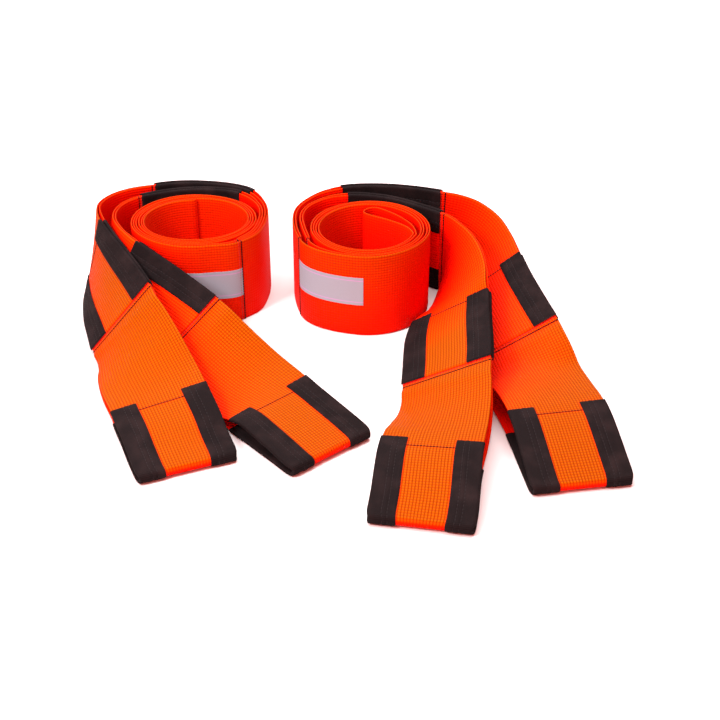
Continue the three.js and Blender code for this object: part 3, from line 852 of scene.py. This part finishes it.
def binding_material():
    """A charcoal tape with a fine slanting weave and a little pale lint."""
    fine_pitch, fine_depth = 0.0007, 0.00016
    # Painted shade: the weave's hollows get the darker colour, its tops the lighter.
    shaded_hollow, cushion = (0.0030, 0.0022, 0.0023), (0.0100, 0.0074, 0.0078)
    lint_colour = (0.024, 0.015, 0.015)
    lint_scale, lint_detail = 60.0, 6.0
    lint_threshold, lint_softness, lint_strength = 0.45, 0.05, 1.4

    shader = Shader("binding", 0.8, Specular_IOR_Level=0.05)
    across, along = shader.uv()
    twill = shader.cords(shader.math("ADD", across, along), fine_pitch)
    height = shader.math("MULTIPLY", twill, shader.cords(along, fine_pitch * 1.3))
    shader.relief(height, fine_depth)
    specks = shader.math("SUBTRACT", shader.noise(lint_scale, lint_detail), lint_threshold)
    lint = shader.math("MULTIPLY", shader.math("SMOOTH_MAX", specks, 0.0, lint_softness), lint_strength)
    shader.colour(shader.between(lint, shader.between(height, shaded_hollow, cushion), lint_colour))
    return shader.material


def thread_material(name, dark, light):
    """Sewing thread with a slanting twist, painted darker in the grooves between its plies as painted shade.
    """
    ply_pitch, ply_depth = 0.0006, 0.0001
    shader = Shader(name, 0.65, Specular_IOR_Level=0.1)
    across, along = shader.uv()
    plies = shader.cords(shader.math("ADD", across, along), ply_pitch)
    shader.relief(plies, ply_depth)
    shader.colour(shader.between(plies, dark, light))
    return shader.material


def label_material():
    """Woven white, with a narrow coloured line a little inside each long edge."""
    warp_pitch, weft_pitch, depth = 0.0006, 0.0008, 0.00008
    # Painted shade: the weave's hollows get the darker colour, its tops the lighter.
    shaded_hollow, cushion = (0.20, 0.245, 0.285), (0.27, 0.32, 0.37)
    line_colour = (0.34, 0.24, 0.42)
    line_inset, line_half_width = 0.0028, 0.0005

    shader = Shader("label", 0.6, Specular_IOR_Level=0.2)
    across, along = shader.uv()
    height = shader.math("MULTIPLY", shader.cords(across, warp_pitch), shader.cords(along, weft_pitch))
    shader.relief(height, depth)
    from_edge = shader.math("SUBTRACT", LABEL_HEIGHT / 2, shader.math("ABSOLUTE", across))
    line = shader.math("COMPARE", from_edge, line_inset, line_half_width)
    shader.colour(shader.between(line, shader.between(height, shaded_hollow, cushion), line_colour))
    return shader.material


MATERIALS = {
    "webbing": webbing_material(),
    "binding": binding_material(),
    "label": label_material(),
    # For each thread, the first colour is painted shade in the grooves between its plies, and the second is
    # the tops of the plies.
    "thread": thread_material("thread", (0.0045, 0.0040, 0.0043), (0.0140, 0.0115, 0.0125)),
    "seam": thread_material("seam", (0.0040, 0.0006, 0.0006), (0.0160, 0.0022, 0.0020)),
    "tack": thread_material("tack", (0.16, 0.006, 0.003), (0.50, 0.030, 0.018)),
}


# ---------------------------------------------------------------- pieces


class Part:
    """What a loop's or a roll's pieces are called, and the body they ride.

    bend is the two places between which the webbing would bend away from the body bends_from; it is not
    used."""

    def __init__(self, name, body, bends_from=None, bend=None):
        self.name = name
        self.body = body
        self.bends_from = bends_from
        self.bend = bend

    def finish(self, piece, slot, node=None, blends=False):
        if blends and self.bends_from:
            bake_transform(piece)
        else:
            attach(piece, self.body)
        if node:
            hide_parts(node)


def add_webbing(part, ribbons, node):
    section = webbing_section()
    parts = [sweep(ribbon, ribbon.along, *section) for ribbon in ribbons]
    piece = make_piece(f"{part.name}_cloth", *join_parts(parts), MATERIALS["webbing"])
    part.finish(piece, "webbing", node, blends=True)


def add_binding(part, name, ribbon, stretch, edge, side):
    section = binding_section(side)
    vertices, faces, uvs = sweep(ribbon, ribbon.steps(*stretch), *section)
    node = f"{part.name}_binding_{edge}_{name}"
    piece = make_piece(f"{node}_tape", vertices, faces, uvs, MATERIALS["binding"])
    part.finish(piece, "binding", node)


def binding_stitches(ribbon, stretch, edge):
    """The two rows of stitches along a binding, on the side of the webbing that shows."""
    along = run_of_stitches(*stretch, STITCH_PITCH)
    mouth = HALF_WIDTH - BINDING_REACH
    height = HALF_THICKNESS + BINDING_PROUD - BINDING_GROOVE
    places = [edge * (mouth + row) for row in BINDING_ROWS]
    return [stitch_row(ribbon, along, across, height, ribbon.outer, 1.0) for across in places]


def cross_stitches(ribbon, at, sides, reach, weight):
    """A row of stitches across the webbing on each of the sides given."""
    across = run_of_stitches(-reach, reach, CLOSE_PITCH)
    return [stitch_row(ribbon, at, across, HALF_THICKNESS, side, weight) for side in sides]


def add_thread(part, name, rows, material):
    piece = make_piece(f"{part.name}_{name}", *join_parts(rows), MATERIALS[material])
    part.finish(piece, "binding")


def add_tack(part, name, places):
    """The rows of one tack. Each place is a ribbon, how far along it, which way past it, and the sides."""
    # The second row's stout near-black thread is partly thread and partly painted shade of the pinched
    # groove.
    for row, kind, weight in zip(TACK_ROWS, ("tack", "seam"), TACK_WEIGHTS):
        rows = []
        for ribbon, along, direction, sides in places:
            rows += cross_stitches(ribbon, along + direction * row, sides, HALF_WIDTH, weight)
        add_thread(part, f"{name}_{kind}_thread", rows, kind)


def add_loop(part, tail, loop):
    """The webbing, bindings and thread of one loop."""
    start, stop = tail.bound(loop)
    inset = CROSS_ROW[loop]
    open_reach = HALF_WIDTH - BINDING_REACH
    if loop == "end":
        ribbon = round_loop(tail)
        ribbons = {"round": ribbon}
        stop = ribbon.along[-1] + ribbon.along[0] - start
        crossed = (start + inset, stop - inset)
    else:
        ribbons = open_loop(tail, loop)
        crossed = (start + inset,)
    add_webbing(part, ribbons.values(), f"{part.name}_webbing")
    tape_rows, cross_rows = [], []
    for name, ribbon in ribbons.items():
        for edge, side in (("head", 1), ("foot", -1)):
            add_binding(part, name, ribbon, (start, stop), edge, side)
            tape_rows += binding_stitches(ribbon, (start, stop), side)
        for at in crossed:
            cross_rows += cross_stitches(ribbon, at, [ribbon.outer], open_reach, CROSS_WEIGHT)
    add_thread(part, "binding_thread", tape_rows, "thread")
    add_thread(part, "cross_thread", cross_rows, "seam")
    if loop != "end":
        last = tail.tacks[loop][1]
        add_tack(part, "last", [(ribbon, last, 1, [ribbon.outer]) for ribbon in ribbons.values()])


def add_roll(part, strap, tails):
    """The rolled middle of a strap, with the first tack of each tail at its two ends."""
    ribbon = roll_ribbon(strap, tails)
    add_webbing(part, [ribbon], f"{part.name}_webbing")
    both = (UPPER, LOWER)
    add_tack(part, "first", [(ribbon, 0.0, -1, both), (ribbon, ribbon.along[-1], 1, both)])
    return ribbon


def add_label(strap_name, ribbon, middle):
    """A woven label on the outside of the roll, with one end caught in the outer tail's first tack."""
    part = Part(f"{strap_name}_label", f"{strap_name}_strap")
    end = ribbon.along[-1]
    along = np.linspace(end - LABEL_LENGTH, end - LABEL_END_GAP, LABEL_STATIONS)
    across = middle - STANDING + np.linspace(-LABEL_HEIGHT / 2, LABEL_HEIGHT / 2, LABEL_ACROSS)
    heights = (LABEL_OUTSIDE, LABEL_OUTSIDE - LABEL_THICKNESS)
    rows = [np.stack([across, np.full(len(across), ribbon.outer * h)], axis=1) for h in heights]
    vertices, faces, uvs = sweep(ribbon, along, *rows)
    uvs = uvs - [middle - STANDING, 0.0]  # the label's own middle is 0 across
    piece = make_piece(f"{part.name}_cloth", vertices, faces, uvs, MATERIALS["label"])
    part.finish(piece, "label", part.name)


def add_strap(strap_name, strap):
    body = f"{strap_name}_strap"
    tails = {name: Tail(strap[name]) for name in ("outer", "inner")}
    ribbon = add_roll(Part(f"{strap_name}_roll", body), strap, tails)
    add_label(strap_name, ribbon, strap["label_middle"])
    for tail_name, tail in tails.items():
        for loop in LOOPS:
            name = f"{strap_name}_{tail_name}_{loop}_loop"
            if loop == "end":
                bend, _, _ = tail.frame(tail.sewn[-1] + np.array(BEND), UPPER_COLUMNS)
                part = Part(name, f"{strap_name}_{tail_name}_end_loop", body, bend)
            else:
                part = Part(name, body)
            add_loop(part, tail, loop)


for strap_name, strap in STRAPS.items():
    add_strap(strap_name, strap)


# ---------------------------------------------------------------- stage


def add_floor():
    side, grey = 4.0, 0.62
    corners = [(x * side, y * side, 0.0) for x, y in ((-1, -1), (1, -1), (1, 1), (-1, 1))]
    mesh = bpy.data.meshes.new("floor")
    mesh.from_pydata(corners, [], [(0, 1, 2, 3)])
    shader = Shader("floor", 0.9, Specular_IOR_Level=0.1)
    shader.colour((grey, grey, grey, 1.0))
    mesh.materials.append(shader.material)
    floor = bpy.data.objects.new("floor", mesh)
    bpy.context.scene.collection.objects.link(floor)


def add_light(name, size, energy, place, aim=(0.0, 0.0, 0.0), colour=(1.0, 1.0, 1.0)):
    data = bpy.data.lights.new(name, "AREA")
    data.size = size
    data.energy = energy
    data.color = colour
    light = bpy.data.objects.new(name, data)
    light.location = place
    light.rotation_euler = (Vector(aim) - Vector(place)).to_track_quat("-Z", "Y").to_euler()
    bpy.context.scene.collection.objects.link(light)


def add_camera(lens, degrees_down, distance):
    """A camera that looks at the routes' own origin."""
    data = bpy.data.cameras.new("camera")
    data.sensor_width = 36.0
    data.lens = lens
    camera = bpy.data.objects.new("camera", data)
    down = math.radians(degrees_down)
    x, y, _ = LAYOUT_ORIGIN
    camera.location = (x, y - distance * math.cos(down), distance * math.sin(down))
    camera.rotation_euler = (math.pi / 2 - down, 0.0, 0.0)
    bpy.context.scene.collection.objects.link(camera)
    bpy.context.scene.camera = camera


def add_world(colour, strength):
    world = bpy.data.worlds.new("studio")
    world.use_nodes = True
    background = world.node_tree.nodes["Background"]
    background.inputs[0].default_value = colour
    background.inputs[1].default_value = strength
    bpy.context.scene.world = world


# The glow and the world are tinted red, so that the shaded sides of the webbing stay red, not brown.
add_floor()
add_light("overhead", size=1.2, energy=36.0, place=(0.0, 0.1, 1.3))
add_light("key", size=0.4, energy=34.0, place=(-0.9, -0.7, 1.15))
add_light("back", size=3.0, energy=150.0, place=(0.0, 3.2, 2.0), aim=(0.0, 3.0, 0.0))
add_light("glow", size=1.4, energy=27.0, place=(-0.3, -1.6, 0.7), colour=(1.0, 0.12, 0.08))
add_camera(lens=72.5, degrees_down=33, distance=1.2)
add_world(colour=(1.0, 0.32, 0.29, 1.0), strength=0.9)
bpy.context.scene.view_settings.view_transform = "Standard"
